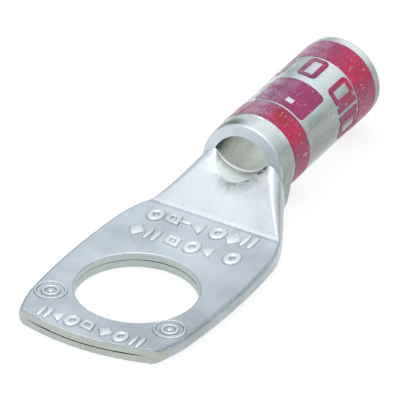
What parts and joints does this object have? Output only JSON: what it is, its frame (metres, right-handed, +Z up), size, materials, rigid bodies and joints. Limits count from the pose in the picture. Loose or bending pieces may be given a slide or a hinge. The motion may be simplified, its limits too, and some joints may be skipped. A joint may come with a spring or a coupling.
{
  "type": "copper cable lug",
  "caption": "Tin-plated copper tube lug: a round barrel to crimp on a wire, a sight window, and a flat palm with a stud hole.",
  "frame": {"origin": "on the stud hole's axis, level with the underside of the palm", "axes": "+X runs along the lug towards the wire, +Z is up through the palm, +Y completes the right-handed frame"},
  "size_m": [0.0356, 0.0127, 0.0064],
  "materials": {
    "tinned_copper": "satin tin plating over copper, with light handling marks",
    "printed_ink": "thin rubbed marking ink"
  },
  "bodies": {
    "root": {"lug": "tinned_copper", "barrel_print": "printed_ink"}
  },
  "joints": []
}
